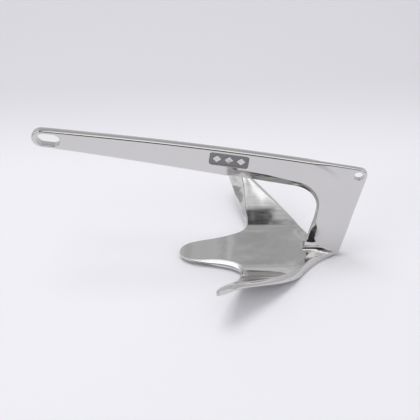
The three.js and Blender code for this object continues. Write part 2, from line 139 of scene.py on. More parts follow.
FLUKE_LIFT = 3.9
FLUKE_LIFT_START = -125.0
FLUKE_LIFT_LENGTH = 28.0
FLUKE_FADE_START = 24.0
FLUKE_FADE = 20.0

# x, y, then the bevel's width and depth on the upper side and on the lower side
LEADING_POINTS = [
    (-119.3, 108.6, 0.0, 0.0, 0.0, 0.0),
    (-122.2, 110.9, 0.6, 0.6, 0.0, 0.0),
    (-124.6, 109.0, 1.6, 1.6, 0.0, 0.0),
    (-124.9, 103.0, 4.2, 3.6, 0.0, 0.0),
    (-123.6, 95.0, 9.5, 4.8, 0.0, 0.0),
    (-120.3, 84.2, 14.0, 5.2, 0.2, 0.2),
    (-116.1, 72.3, 12.5, 5.2, 0.3, 0.3),
    (-111.0, 61.3, 8.5, 5.0, 0.5, 0.5),
    (-106.5, 51.3, 4.2, 4.6, 1.2, 1.2),
    (-103.4, 40.0, 2.6, 5.0, 2.4, 2.4),
    (-105.4, 33.5, 3.6, 5.2, 3.6, 3.4),
    (-111.5, 28.8, 4.2, 5.2, 4.0, 3.6),
    (-119.0, 25.6, 4.2, 4.8, 3.8, 3.4),
    (-128.3, 22.8, 4.2, 4.4, 3.4, 3.0),
    (-140.0, 20.4, 3.8, 3.8, 3.0, 2.6),
    (-151.0, 18.2, 2.6, 2.4, 1.6, 1.4),
    (-162.0, 14.8, 1.2, 1.0, 0.6, 0.5),
    (-169.0, 10.8, 0.6, 0.4, 0.2, 0.2),
    (-173.4, 5.6, 0.4, 0.3, 0.0, 0.0),
    (-174.7, 0.0, 0.4, 0.3, 0.0, 0.0),
]

# ---- how the meshes are drawn -------------------------------------------------------------------

SPACING = 1.5        # along the outlines
GRID = 2.6           # between points inside the faces
CREASE = 0.7         # half the width over which a bevel turns into the face
ROUND_STEPS = 8      # rings round an edge
CREASE_OFFSETS = (-1.0, -0.5, 0.0, 0.5, 1.0, 1.7)
RING_CLEARANCE = 0.06

SHIFT = cad_box[0][0] / MM - (EYE[0] - EYE_RADIUS)


def smooth(t):
    t = np.clip(t, 0.0, 1.0)
    return t * t * (3.0 - 2.0 * t)


def soft_ramp(value, start, softness):
    return softness * np.logaddexp(0.0, (value - start) / softness)


# ---- curves -------------------------------------------------------------------------------------


def unit(v):
    v = np.asarray(v, float)
    return v / np.linalg.norm(v)


def ahead(centre, direction, distance):
    return np.asarray(centre, float) + np.asarray(direction, float) * distance


def line(start, end):
    t = np.linspace(0.0, 1.0, 2)[:, None]
    return np.asarray(start, float) * (1 - t) + np.asarray(end, float) * t


def bezier(start, control, end):
    t = np.linspace(0.0, 1.0, 200)[:, None]
    start, control, end = (np.asarray(p, float) for p in (start, control, end))
    return start * (1 - t) ** 2 + control * 2 * t * (1 - t) + end * t * t


def arc(centre, radius, start, end, turning):
    first = math.atan2(start[1], start[0])
    last = math.atan2(end[1], end[0])
    if turning > 0 and last < first:
        last += 2 * math.pi
    if turning < 0 and last > first:
        last -= 2 * math.pi
    a = np.linspace(first, last, 120)
    return np.column_stack([centre[0] + radius * np.cos(a), centre[1] + radius * np.sin(a)])


def evenly(points, count):
    """count points along a polyline, without its last point, and how far along each is."""
    steps = np.linalg.norm(np.diff(points, axis=0), axis=1)
    along = np.concatenate([[0.0], np.cumsum(steps)])
    t = np.arange(count) / count
    wanted = t * along[-1]
    return np.column_stack([np.interp(wanted, along, points[:, k]) for k in (0, 1)]), t


def length_of(points):
    return float(np.linalg.norm(np.diff(points, axis=0), axis=1).sum())


def outline_of(stretches):
    """One loop and its edge shapes from stretches of (polyline, first edge, last edge)."""
    loops, edges = [], []
    for points, first, last in stretches:
        count = max(1, math.ceil(length_of(points) / SPACING))
        spots, t = evenly(points, count)
        blend = smooth(t)[:, None]
        loops.append(spots)
        edges.append(np.asarray(first) * (1 - blend) + np.asarray(last) * blend)
    return np.vstack(loops), np.vstack(edges)


def spline(points, spacing):
    """A Catmull-Rom curve through rows of x, y and any further columns, which follow it."""
    points = np.asarray(points, float)
    rows = []
    last = len(points) - 1
    for k in range(last):
        p0, p1, p2, p3 = points[max(k - 1, 0)], points[k], points[k + 1], points[min(k + 2, last)]
        count = max(2, math.ceil(np.linalg.norm(p2[:2] - p1[:2]) / spacing))
        for i in range(count):
            t = i / count
            v0, v1 = (p2 - p0) / 2, (p3 - p1) / 2
            row = ((2 * p1 - 2 * p2 + v0 + v1) * t ** 3
                   + (-3 * p1 + 3 * p2 - 2 * v0 - v1) * t ** 2 + v0 * t + p1)
            row[2:] = p1[2:] * (1 - t) + p2[2:] * t
            rows.append(row)
    return np.array(rows)


# ---- plates with rounded edges ------------------------------------------------------------------


def inward(loop):
    """Unit normals to the left of each point of a closed loop."""
    along = np.roll(loop, -1, axis=0) - np.roll(loop, 1, axis=0)
    along /= np.linalg.norm(along, axis=1)[:, None]
    return np.column_stack([-along[:, 1], along[:, 0]])


def ring_insets(edges):
    """How far in from the outline each ring lies."""
    width, radius = edges[:, 0], edges[:, 2]
    insets = []
    for k in range(ROUND_STEPS):
        insets.append(radius * (1 - math.cos(math.pi / 2 * k / (ROUND_STEPS - 1))))
    for k, offset in enumerate(CREASE_OFFSETS):
        insets.append(np.maximum(radius + RING_CLEARANCE * (k + 1), width + CREASE * offset))
    return insets


def edge_drop(inset, edges):
    """How far the skin falls below the face at that inset."""
    width, depth, reach, fall = edges.T
    safe = np.maximum(width, 1e-6)
    crease = np.minimum(CREASE, safe / 2)
    v = safe - inset
    ramp = np.where(v > crease, v, np.where(v < -crease, 0.0, (v + crease) ** 2 / (4 * crease)))
    near = np.clip(1 - inset / reach, 0.0, 1.0)
    return depth * ramp / safe + fall * (1 - np.sqrt(1 - near ** 2))


def inside(points, loop):
    """Which points lie inside a closed loop."""
    x, y = points[:, 0][:, None], points[:, 1][:, None]
    ax, ay = loop[:, 0][None, :], loop[:, 1][None, :]
    b = np.roll(loop, -1, axis=0)
    bx, by = b[:, 0][None, :], b[:, 1][None, :]
    crosses = (ay > y) != (by > y)
    with np.errstate(divide="ignore", invalid="ignore"):
        where = ax + (y - ay) / (by - ay) * (bx - ax)
    return (np.sum(crosses & (x < where), axis=1) % 2) == 1


def clear_of(points, others, distance):
    keep = np.ones(len(points), bool)
    for start in range(0, len(others), 400):
        part = others[start:start + 400]
        gap = np.linalg.norm(points[:, None, :] - part[None, :, :], axis=2).min(axis=1)
        keep &= gap > distance
    return keep


def hexagonal(low, high, spacing):
    rows = []
    height = spacing * math.sqrt(3) / 2
    for j in range(int((high[1] - low[1]) / height) + 2):
        x = np.arange(low[0] + (j % 2) * spacing / 2, high[0] + spacing, spacing)
        rows.append(np.column_stack([x, np.full(len(x), low[1] + j * height)]))
    return np.vstack(rows)


def fill(loops, features, fine, spacing):
    """Triangles between the loops (the first is outside), as 2-D points and corner numbers.

    The loops' own points come first. features are closed loops inside, and fine is extra points.
    """
    fixed = list(loops) + list(features)
    points = np.vstack(fixed)
    edges = []
    start = 0
    for loop in fixed:
        n = len(loop)
        edges += [(start + i, start + (i + 1) % n) for i in range(n)]
        start += n
    grid = hexagonal(loops[0].min(axis=0), loops[0].max(axis=0), spacing)
    grid = grid[inside(grid, loops[0])]
    for hole in loops[1:]:
        grid = grid[~inside(grid, hole)]
    grid = grid[clear_of(grid, points, spacing * 0.42)]
    if len(fine):
        grid = grid[clear_of(grid, fine, spacing * 0.5)]
        grid = np.vstack([grid, fine[clear_of(fine, points, 0.3)]])
    everything = np.vstack([points, grid])
    result = delaunay_2d_cdt([Vector(p) for p in everything], edges, [], 0, 1e-6, True)
    verts, _, faces, origin = result[0], result[1], result[2], result[3]
    number = [o[0] if o else None for o in origin]
    extra = [i for i, n in enumerate(number) if n is None]
    for k, i in enumerate(extra):
        number[i] = len(everything) + k
    if extra:
        everything = np.vstack([everything, [tuple(verts[i]) for i in extra]])
    triangles = np.array([[number[c] for c in face] for face in faces])
    middles = everything[triangles].mean(axis=1)
    keep = inside(middles, loops[0])
    for hole in loops[1:]:
        keep &= ~inside(middles, hole)
    return everything, triangles[keep]


def plate(name, loops, skins, place, spacing=GRID):
    """A closed mesh between two skins.

    loops are (points, upper edges, lower edges), each with the material on its left. skins are
    (height function, sign of its drop, features, fine points) for the upper and the lower side.
    place turns x, y and height into the model's frame.
    """
    verts, faces = [], []
    count = 0
    outer_rings = []
    for side, (height, sign, features, fine) in enumerate(skins):
        inner_loops, inner_numbers, outer = [], [], []
        for loop in loops:
            points, edges = loop[0], loop[1 + side]
            normals = inward(points)
            previous = None
            for inset in ring_insets(edges):
                ring = points + normals * inset[:, None]
                level = height(ring[:, 0], ring[:, 1]) - sign * edge_drop(inset, edges)
                verts.append(place(ring[:, 0], ring[:, 1], level))
                numbers = np.arange(count, count + len(ring))
                count += len(ring)
                if previous is None:
                    outer.append(numbers)
                else:
                    faces += quads(previous, numbers)
                previous = numbers
            inner_loops.append(ring)
            inner_numbers.append(previous)
        outer_rings.append(outer)
        flat, triangles = fill(inner_loops, features, fine, spacing)
        known = np.concatenate(inner_numbers)
        new = flat[len(known):]
        verts.append(place(new[:, 0], new[:, 1], height(new[:, 0], new[:, 1])))
        numbers = np.concatenate([known, np.arange(count, count + len(new))])
        count += len(new)
        faces += [tuple(int(c) for c in numbers[t]) for t in triangles]
    for upper, lower in zip(*outer_rings):
        faces += quads(upper, lower)
    return mesh_object(name, np.vstack(verts), faces)


def quads(one, other):
    a, b = np.roll(one, -1), np.roll(other, -1)
    return [tuple(int(n) for n in q) for q in zip(one, a, b, other)]


def mesh_object(name, verts, faces):
    mesh = bpy.data.meshes.new(name)
    low, high = np.array(cad_box[0]), np.array(cad_box[1])
    mesh.from_pydata(np.clip(verts * MM, low, high).tolist(), [], faces)
    shape = bmesh.new()
    shape.from_mesh(mesh)
    bmesh.ops.recalc_face_normals(shape, faces=shape.faces)
    shape.to_mesh(mesh)
    shape.free()
    mesh.shade_smooth()
    obj = bpy.data.objects.new(name, mesh)
    bpy.context.collection.objects.link(obj)
    return obj


# ---- shank --------------------------------------------------------------------------------------

# bevel's width and depth, then how far its outer edge's rounding reaches in from the outline and
# down from the face
TOP_EDGE = (0.0, 0.0, 2.4, 3.8)
EYE_EDGE = (0.0, 0.0, 1.8, 3.0)
EAR_EDGE = (0.0, 0.0, 1.6, 2.4)
EDGE = (0.0, 0.0, 1.4, 2.0)
BEAM_BEVEL = (10.6, 1.9, 1.2, 1.4)
ARCH_BEVEL_IN = (8.2, 2.2, 1.2, 1.4)
ARCH_BEVEL_OUT = (2.4, 1.2, 1.2, 1.6)
ROOT_BEVEL = (15.0, 2.7, 1.0, 1.2)
HOLE_EDGE = (0.0, 0.0, 1.0, 1.3)

LEG_BACK = unit((1.0, -BACK_LEAN))


def back_edge(z):
    return np.array([z * BACK_LEAN, z])


def front_edge(z):
    return np.array([z * BACK_LEAN - LEG_WIDTH, z])


EAR = ahead(back_edge(EAR_HEIGHT), (-1.0, 0.0), EAR_RADIUS / LEG_BACK[0])


def normal_to(slope):
    return unit((-slope, 1.0))


def rounded_corner(before, corner, after, radius):
    """The arc that rounds a corner of straight lines, and where it starts and ends."""
    to_before = unit(np.subtract(before, corner))
    to_after = unit(np.subtract(after, corner))
    half = math.acos(float(np.clip(to_before @ to_after, -1, 1))) / 2
    reach = radius / math.tan(half)
    start, end = ahead(corner, to_before, reach), ahead(corner, to_after, reach)
    return start, bezier(start, corner, end), end


def shank_outline():
    eye_top = normal_to(EYE_TOP_SLOPE)
    eye_bottom = -normal_to(EYE_BOTTOM_SLOPE)
    ear_top = normal_to(EAR_TOP_SLOPE)
    beam_up = normal_to(BEAM_SLOPE)
    arch_start = ahead(ARCH, beam_up, ARCH_RADIUS)
    arch_end = ahead(ARCH, LEG_BACK, ARCH_RADIUS)

    def on_underside(x):
        return np.array([x, arch_start[1] + (x - arch_start[0]) * BEAM_SLOPE])

    top_start = ahead(EAR, ear_top, EAR_RADIUS)
    top_end = ahead(EYE, eye_top, EYE_RADIUS)
    underside_start = ahead(EYE, eye_bottom, EYE_RADIUS)
    straight_start = on_underside(BEAM_STRAIGHT_FROM)
    flare_start = front_edge(LEG_BEVEL_FULL - 4)
    foot_top = (FOOT_FRONT, PALM_TOP)
    foot_bottom = (FOOT_FRONT, 0.0)
    lift_start = (HEEL_LIFT_START, 0.0)
    heel = back_edge(HEEL_LIFT)
    ear_foot = ahead(EAR, LEG_BACK, EAR_RADIUS)
    whole_top = bezier(top_start, TOP_EDGE_CONTROL, top_end)
    ear_top_edge, top_edge, eye_top_edge = whole_top[:41], whole_top[40:170], whole_top[169:]
    toe_start, toe, toe_end = rounded_corner(foot_top, foot_bottom, lift_start, 3.0)
    heel_start, heel_arc, heel_end = rounded_corner(lift_start, heel, ear_foot, 3.0)
    return outline_of([
        (line(heel_end, ear_foot), EDGE, EDGE),
        (arc(EAR, EAR_RADIUS, LEG_BACK, ear_top, 1), EDGE, EAR_EDGE),
        (ear_top_edge, EAR_EDGE, TOP_EDGE),
        (top_edge, TOP_EDGE, TOP_EDGE),
        (eye_top_edge, TOP_EDGE, EYE_EDGE),
        (arc(EYE, EYE_RADIUS, eye_top, eye_bottom, 1), EYE_EDGE, EYE_EDGE),
        (bezier(underside_start, UNDERSIDE_CONTROL, straight_start), EYE_EDGE, EDGE),
        (line(straight_start, on_underside(BEVEL_START)), EDGE, EDGE),
        (line(on_underside(BEVEL_START), on_underside(BEVEL_FULL)), EDGE, BEAM_BEVEL),
        (line(on_underside(BEVEL_FULL), on_underside(BEVEL_EASE)), BEAM_BEVEL, BEAM_BEVEL),
        (line(on_underside(BEVEL_EASE), arch_start), BEAM_BEVEL, ARCH_BEVEL_IN),
        (arc(ARCH, ARCH_RADIUS, beam_up, LEG_BACK, -1), ARCH_BEVEL_IN, ARCH_BEVEL_OUT),
        (line(arch_end, front_edge(LEG_BEVEL_TOP)), ARCH_BEVEL_OUT, ARCH_BEVEL_OUT),
        (line(front_edge(LEG_BEVEL_TOP), front_edge(LEG_BEVEL_FULL)),
         ARCH_BEVEL_OUT, ROOT_BEVEL),
        (line(front_edge(LEG_BEVEL_FULL), flare_start), ROOT_BEVEL, ROOT_BEVEL),
        (bezier(flare_start, front_edge(FLARE_CONTROL_HEIGHT), foot_top), ROOT_BEVEL, EDGE),
        (line(foot_top, toe_start), EDGE, EDGE),
        (toe, EDGE, EDGE),
        (line(toe_end, heel_start), EDGE, EDGE),
        (heel_arc, EDGE, EDGE),
    ])


def turned(points, middle, turn):
    c, s = math.cos(turn), math.sin(turn)
    return np.asarray(points) @ np.array([[c, s], [-s, c]]) + np.asarray(middle)


def rounded_rectangle(length, height, corner, grow=0.0, spacing=SPACING):
    """Anticlockwise, about its own middle, grown outwards by grow."""
    x, y = length / 2 - corner, height / 2 - corner
    radius = corner + grow
    corners = []
    for k, (cx, cy) in enumerate([(x, y), (-x, y), (-x, -y), (x, -y)]):
        a = math.pi / 2 * k
        corners.append(arc((cx, cy), radius, (math.cos(a), math.sin(a)),
                           (math.cos(a + math.pi / 2), math.sin(a + math.pi / 2)), 1))
    closed = np.vstack(corners + [corners[0][:1]])
    keep = np.concatenate([[True], np.linalg.norm(np.diff(closed, axis=0), axis=1) > 1e-9])
    closed = closed[keep]
    return evenly(closed, math.ceil(length_of(closed) / spacing))[0]


def circle(centre, radius, spacing):
    a = np.arange(math.ceil(2 * math.pi * radius / spacing)) * 2 * math.pi
    a /= math.ceil(2 * math.pi * radius / spacing)
    return np.column_stack([centre[0] + radius * np.cos(a), centre[1] + radius * np.sin(a)])


def half_thickness(x, z):
    from_arch = np.hypot(x - ARCH[0], z - ARCH[1])
    aft = np.degrees(np.arctan2(z - ARCH[1], x - ARCH[0]))
    in_corner = smooth((aft + 25) / 15) * smooth((76 - aft) / 14)
    step = smooth((from_arch - WEB_RADIUS + WEB_STEP / 2) / WEB_STEP)
    return SHANK_HALF - WEB_RELIEF * step * in_corner


def panel_frame(x, z):
    c, s = math.cos(PANEL_TURN), math.sin(PANEL_TURN)
    dx, dz = x - PANEL_MIDDLE[0], z - PANEL_MIDDLE[1]
    return dx * c + dz * s, -dx * s + dz * c


def panel_depth(x, z):
    u, v = panel_frame(x, z)
    qu = np.abs(u) - PANEL_LENGTH / 2 + PANEL_CORNER
    qv = np.abs(v) - PANEL_HEIGHT / 2 + PANEL_CORNER
    outside = np.hypot(np.maximum(qu, 0), np.maximum(qv, 0)) + np.minimum(np.maximum(qu, qv), 0)
    distance = outside - PANEL_CORNER
    depth = PANEL_DEPTH * smooth(-distance / PANEL_WALL)
    for k in range(MARK_COUNT):
        middle = (k - (MARK_COUNT - 1) / 2) * MARK_PITCH
        lozenge = (np.abs(u - middle) + np.abs(v) - MARK_HALF) * math.sqrt(0.5)
        depth = depth - MARK_HEIGHT * smooth(-lozenge / MARK_WALL)
    return depth


def marks_at(x, z):
    u, v = panel_frame(x, z)
    near = min(abs(u - (k - (MARK_COUNT - 1) / 2) * MARK_PITCH) for k in range(MARK_COUNT))
    return near + abs(v) < MARK_HALF


def lozenge_loop(middle, half, spacing):
    corners = np.array([(half, 0), (0, half), (-half, 0), (0, -half), (half, 0)], float)
    corners += (middle, 0.0)
    count = 4 * math.ceil(half * math.sqrt(2) / spacing)
    return evenly(corners, count)[0]


def panel_features():
    features = []
    for grow in (0.25, 0.0, -0.18, -0.35, -0.52, -0.7, -0.95):
        loop = rounded_rectangle(PANEL_LENGTH, PANEL_HEIGHT, PANEL_CORNER, grow, 0.9)
        features.append(turned(loop, PANEL_MIDDLE, PANEL_TURN))
    for k in range(MARK_COUNT):
        middle = (k - (MARK_COUNT - 1) / 2) * MARK_PITCH
        for inset in (-0.2, 0.0, 0.35, 0.7, 0.95):
            loop = lozenge_loop(middle, MARK_HALF - inset * math.sqrt(2), 0.8)
            features.append(turned(loop, PANEL_MIDDLE, PANEL_TURN))
    return features


def web_step_points(outline):
    """Extra points along the step to the thinner outer corner."""
    rows = []
    for k in range(-3, 4):
        radius = WEB_RADIUS + k * WEB_STEP / 6
        a = np.radians(np.arange(-20, 112, math.degrees(1.6 / radius)))
        rows.append(np.column_stack([ARCH[0] + radius * np.cos(a), ARCH[1] + radius * np.sin(a)]))
    points = np.vstack(rows)
    points = points[inside(points, outline)]
    return points[clear_of(points, outline, 2.4)]


def to_frame_upright(x, z, y):
    return np.column_stack([x + SHIFT, y, z])


def make_shank():
    outline, edges = shank_outline()
    slot = rounded_rectangle(SLOT_LENGTH, SLOT_WIDTH, SLOT_WIDTH / 2 - 0.01, 0.0, 1.2)
    slot = turned(slot, SLOT_MIDDLE, SLOT_TURN)[::-1]
    hole = circle(EAR, TRIP_HOLE_RADIUS, 0.9)[::-1]
    slot_edges = np.tile(HOLE_EDGE, (len(slot), 1))
    hole_edges = np.tile(HOLE_EDGE, (len(hole), 1))
    loops = [(outline, edges, edges), (slot, slot_edges, slot_edges),
             (hole, hole_edges, hole_edges)]
    step = web_step_points(outline)
    step = step[clear_of(step, np.asarray([EAR]), TRIP_HOLE_RADIUS + 2.2)]

    def port(x, z):
        return -half_thickness(x, z) + panel_depth(x, z)

    skins = [(half_thickness, 1, [], step), (port, -1, panel_features(), step)]
    obj = plate("shank_casting", loops, skins, to_frame_upright)
    return obj


# ---- claw ---------------------------------------------------------------------------------------


def trailing_x(side):
    across = np.clip((side - TRAIL_BULGE_START) / (TRAIL_BULGE_END - TRAIL_BULGE_START), 0, 1)
    flare = HEEL_FLARE * np.exp(-np.maximum(side, HEEL_FLARE_FROM) / HEEL_FLARE_REACH)
    return -TRAIL_SETBACK - side + TRAIL_BULGE * np.sin(math.pi * across) ** 2 + flare


def wing_rise(side):
    return sum(slope * soft_ramp(side, start, soft) for start, soft, slope in WING_BENDS)


def wing_angle(side):
    return np.arctan(sum(
        slope / (1 + np.exp((start - side) / soft)) for start, soft, slope in WING_BENDS))


def wing_dish(x, side):
    across = np.clip((trailing_x(side) - x) / np.maximum(trailing_x(side) + 108.0, 14.0), 0, 1)
    return WING_DISH * 4 * across * (1 - across) * smooth((side - 50.0) / 12.0)


def heel_roll(x, side):
    in_from_edge = np.maximum(0, (trailing_x(side) - x) * math.sqrt(0.5))
    return (HEEL_ROLL * np.exp(-side / HEEL_ROLL_REACH)
            * np.exp(-((in_from_edge / HEEL_ROLL_WIDTH) ** 2)))


def on_fluke(side):
    return 1 - smooth((side - FLUKE_FADE_START) / FLUKE_FADE)


def claw_top(x, y):
    side = np.abs(y)
    towards_tip = smooth((FLUKE_DROP_START - x) / (FLUKE_DROP_START - FLUKE_TIP[0]))
    return (PALM_TOP + wing_rise(side) - heel_roll(x, side)
            - FLUKE_DROP * towards_tip * on_fluke(side) - wing_dish(x, side))


def claw_thickness(side):
    thinning = smooth((side - THINNING_START) / (THINNING_END - THINNING_START))
    return PALM_TOP + (WING_THICKNESS - PALM_TOP) * thinning


def claw_bottom(x, y):
    side = np.abs(y)
    towards_tip = smooth((FLUKE_LIFT_START - x) / FLUKE_LIFT_LENGTH)
    towards_heel = np.clip((x - HEEL_LIFT_START) / -HEEL_LIFT_START, 0, 1)
    upright = claw_thickness(side) / np.cos(wing_angle(side))
    return (PALM_TOP + wing_rise(side) - upright
            + FLUKE_LIFT * towards_tip * on_fluke(side) + HEEL_LIFT * towards_heel)


def lean_out(x, y, z):
    """The rims of the turned-up wings stand square to their upper skin."""
    depth = np.maximum(0, claw_top(x, y) - z)
    angle = wing_angle(np.abs(y))
    return np.column_stack([
        x + SHIFT,
        y + np.sign(y) * depth * np.cos(angle) * np.sin(angle),
        z + depth * np.sin(angle) ** 2,
    ])


TRAIL_EDGE = (0.0, 0.0, 1.0, 1.0)         # beside the heel and along the lower side
TRAIL_BEVEL = (2.2, 4.4, 1.0, 1.0)       # along the upper side
CLAW_ROUNDING = (1.0, 1.0)


def claw_outline():
    steps = math.ceil(TRAIL_END * math.sqrt(2) / SPACING)
    side = TRAIL_END * np.arange(1, steps) / steps
    trail = np.column_stack([trailing_x(side), side])
    grown = (smooth((side - TRAIL_BEVEL_START) / (TRAIL_BEVEL_FULL - TRAIL_BEVEL_START))
             * smooth((TRAIL_END - side) / (TRAIL_END - TRAIL_BEVEL_EASE)))[:, None]
    trail_upper = np.asarray(TRAIL_EDGE) * (1 - grown) + np.asarray(TRAIL_BEVEL) * grown
    trail_lower = np.tile(TRAIL_EDGE, (len(trail), 1))
    rows = spline(LEADING_POINTS, SPACING)
    rounding = np.tile(CLAW_ROUNDING, (len(rows), 1))
    upper = np.vstack([trail_upper, np.column_stack([rows[:, 2:4], rounding])])
    lower = np.vstack([trail_lower, np.column_stack([rows[:, 4:6], rounding])])
    half = np.vstack([trail, rows[:, :2]])
    heel = np.array([[trailing_x(0.0), 0.0]])
    tip = np.array([FLUKE_TIP])
    tip_row = LEADING_POINTS[-1]
    port = half[::-1] * (1, -1)
    loop = np.vstack([heel, half, tip, port])
    upper_tip = [(*tip_row[2:4], *CLAW_ROUNDING)]
    lower_tip = [(*tip_row[4:6], *CLAW_ROUNDING)]
    upper = np.vstack([[TRAIL_EDGE], upper, upper_tip, upper[::-1]])
    lower = np.vstack([[TRAIL_EDGE], lower, lower_tip, lower[::-1]])
    return loop, upper, lower


def make_claw():
    loop, upper, lower = claw_outline()
    skins = [(claw_top, 1, [], []), (claw_bottom, -1, [], [])]
    return plate("claw_casting", [(loop, upper, lower)], skins, lean_out)


# ---- weld fillets -------------------------------------------------------------------------------

FILLET_SUNK = 0.35       # into the shank and the palm, so that no gap shows
FILLET_SIZE = 4.4
FILLET_FRONT = 5.0
FILLET_FRONT_HEIGHT = 1.6
FILLET_EDGE = (0.0, 0.0, 0.12, 0.12)


def along_corners(corners, spacing):
    closed = np.vstack([corners, corners[:1]])
    return evenly(closed, math.ceil(length_of(closed) / spacing))[0]


def concave(across, height):
    return height * (1 - np.sqrt(np.clip(1 - (1 - np.clip(across, 0, 1)) ** 2, 0, 1)))


def make_fillet(name, outline, thickness):
    edges = np.tile(FILLET_EDGE, (len(outline), 1))

    def lower(x, y):
        return claw_top(x, y) - FILLET_SUNK

    def upper(x, y):
        return claw_top(x, y) + 0.05 + thickness(x, y)

    def place(x, y, z):
        return np.column_stack([x + SHIFT, y, z])

    skins = [(upper, 1, [], []), (lower, -1, [], [])]
    return plate(name, [(outline, edges, edges)], skins, place, 0.8)


def side_fillet(name, side):
    root = SHANK_HALF - FILLET_SUNK
    toe = SHANK_HALF + FILLET_SIZE
    corners = np.array([
        (FOOT_FRONT + 0.2, root),
        (trailing_x(root) - 1.0, root),
        (trailing_x(toe) - 1.0, toe),
        (FOOT_FRONT + 0.2, toe),
    ])
    outline = along_corners(corners, 0.8) * (1, side)
    if side < 0:
        outline = outline[::-1]

    def thickness(x, y):
        return concave((np.abs(y) - SHANK_HALF) / FILLET_SIZE, FILLET_SIZE)

    return make_fillet(name, outline, thickness)


def front_fillet(name):
    root = FOOT_FRONT + 0.5
    half = SHANK_HALF + FILLET_SIZE
    a = np.linspace(-math.pi / 2, math.pi / 2, 40)
    nose = np.column_stack([root - FILLET_FRONT * np.cos(a), -half * np.sin(a)])[::-1]
    outline = along_corners(nose, 0.8)[::-1]

    def thickness(x, y):
        forward = (root - x) / FILLET_FRONT
        beside = np.maximum(0, (np.abs(y) - SHANK_HALF + 1.5) / (FILLET_SIZE + 1.5))
        return concave(np.hypot(forward, beside), FILLET_FRONT_HEIGHT)

    return make_fillet(name, outline, thickness)


# ---- materials ----------------------------------------------------------------------------------


def new_material(name):
    material = bpy.data.materials.new(name)
    material.use_nodes = True
    material.node_tree.nodes.clear()
    return material


def add(tree, kind, **values):
    node = tree.nodes.new(kind)
    for key, value in values.items():
        setattr(node, key, value)
    return node


def polished_steel(name, roughness=0.07, tone=(0.665, 0.655, 0.648)):
    material = new_material(name)
    tree = material.node_tree
    link = tree.links.new
    out = add(tree, "ShaderNodeOutputMaterial")
    shader = add(tree, "ShaderNodeBsdfPrincipled")
    shader.inputs["Metallic"].default_value = 1.0
    link(shader.outputs["BSDF"], out.inputs["Surface"])
    where = add(tree, "ShaderNodeTexCoord")
    streaks = add(tree, "ShaderNodeMapping")
    streaks.inputs["Scale"].default_value = (60, 900, 900)
    link(where.outputs["Object"], streaks.inputs["Vector"])
    lines = add(tree, "ShaderNodeTexNoise")
    lines.inputs["Scale"].default_value = 1.0
    lines.inputs["Detail"].default_value = 4.0
    link(streaks.outputs["Vector"], lines.inputs["Vector"])
    rough = add(tree, "ShaderNodeMapRange")
    rough.inputs["From Min"].default_value = 0.3
    rough.inputs["From Max"].default_value = 0.7
    rough.inputs["To Min"].default_value = roughness * 0.8
    rough.inputs["To Max"].default_value = roughness * 1.25
    link(lines.outputs["Fac"], rough.inputs["Value"])
    link(rough.outputs["Result"], shader.inputs["Roughness"])
    cloud = add(tree, "ShaderNodeTexNoise")
    cloud.inputs["Scale"].default_value = 35.0
    cloud.inputs["Detail"].default_value = 2.0
    link(where.outputs["Object"], cloud.inputs["Vector"])
    colour = add(tree, "ShaderNodeMix", data_type="RGBA")
    colour.inputs["A"].default_value = (*[c * 0.97 for c in tone], 1)
    colour.inputs["B"].default_value = (*[c * 1.02 for c in tone], 1)
    link(cloud.outputs["Fac"], colour.inputs["Factor"])
    link(colour.outputs["Result"], shader.inputs["Base Color"])
    waves = add(tree, "ShaderNodeTexNoise")
    waves.inputs["Scale"].default_value = 55.0
    waves.inputs["Detail"].default_value = 1.0
    link(where.outputs["Object"], waves.inputs["Vector"])
    bump = add(tree, "ShaderNodeBump")
    bump.inputs["Strength"].default_value = 0.2
    bump.inputs["Distance"].default_value = 0.0007
    link(waves.outputs["Fac"], bump.inputs["Height"])
    link(bump.outputs["Normal"], shader.inputs["Normal"])
    return material


def cast_floor():
    """The recess is left as cast: dark, matt and grainy."""
    material = new_material("matt_cast_steel")
    tree = material.node_tree
    link = tree.links.new
    out = add(tree, "ShaderNodeOutputMaterial")
    shader = add(tree, "ShaderNodeBsdfPrincipled")
    shader.inputs["Metallic"].default_value = 1.0
    link(shader.outputs["BSDF"], out.inputs["Surface"])
    where = add(tree, "ShaderNodeTexCoord")
    grain = add(tree, "ShaderNodeTexNoise")
    grain.inputs["Scale"].default_value = 900.0
    grain.inputs["Detail"].default_value = 3.0
    link(where.outputs["Object"], grain.inputs["Vector"])
    colour = add(tree, "ShaderNodeMix", data_type="RGBA")
    colour.inputs["A"].default_value = (0.16, 0.158, 0.158, 1)
    colour.inputs["B"].default_value = (0.4, 0.395, 0.395, 1)
    link(grain.outputs["Fac"], colour.inputs["Factor"])
    link(colour.outputs["Result"], shader.inputs["Base Color"])
    shader.inputs["Roughness"].default_value = 0.5
    bump = add(tree, "ShaderNodeBump")
    bump.inputs["Strength"].default_value = 0.5
    bump.inputs["Distance"].default_value = 0.0002
    link(grain.outputs["Fac"], bump.inputs["Height"])
    link(bump.outputs["Normal"], shader.inputs["Normal"])
    return material


# ---- the anchor ---------------------------------------------------------------------------------

steel = polished_steel("polished_stainless_steel")
weld = polished_steel("polished_weld_steel", 0.14, (0.62, 0.61, 0.605))

shank = make_shank()
claw = make_claw()
for piece, node in ((shank, "shank"), (claw, "claw")):
    piece.data.materials.append(steel)
    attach(piece, "root")
    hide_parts(node)
shank.data.materials.append(cast_floor())
for face in shank.data.polygons:
    x, y, z = face.center / MM
    depth = float(panel_depth(x - SHIFT, z))
    on_mark = abs(depth - PANEL_DEPTH + MARK_HEIGHT) < 0.12 and marks_at(x - SHIFT, z)
    if y < 0 and depth > 0.12 and not on_mark:
        face.material_index = 1
for piece, node in (
    (side_fillet("weld_fillet_port", -1), "weld_port"),
    (side_fillet("weld_fillet_starboard", 1), "weld_starboard"),
    (front_fillet("weld_fillet_front"), "weld_front"),
):
    piece.data.materials.append(weld)
    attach(piece, "root")
    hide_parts(node)

# ---- stage --------------------------------------------------------------------------------------

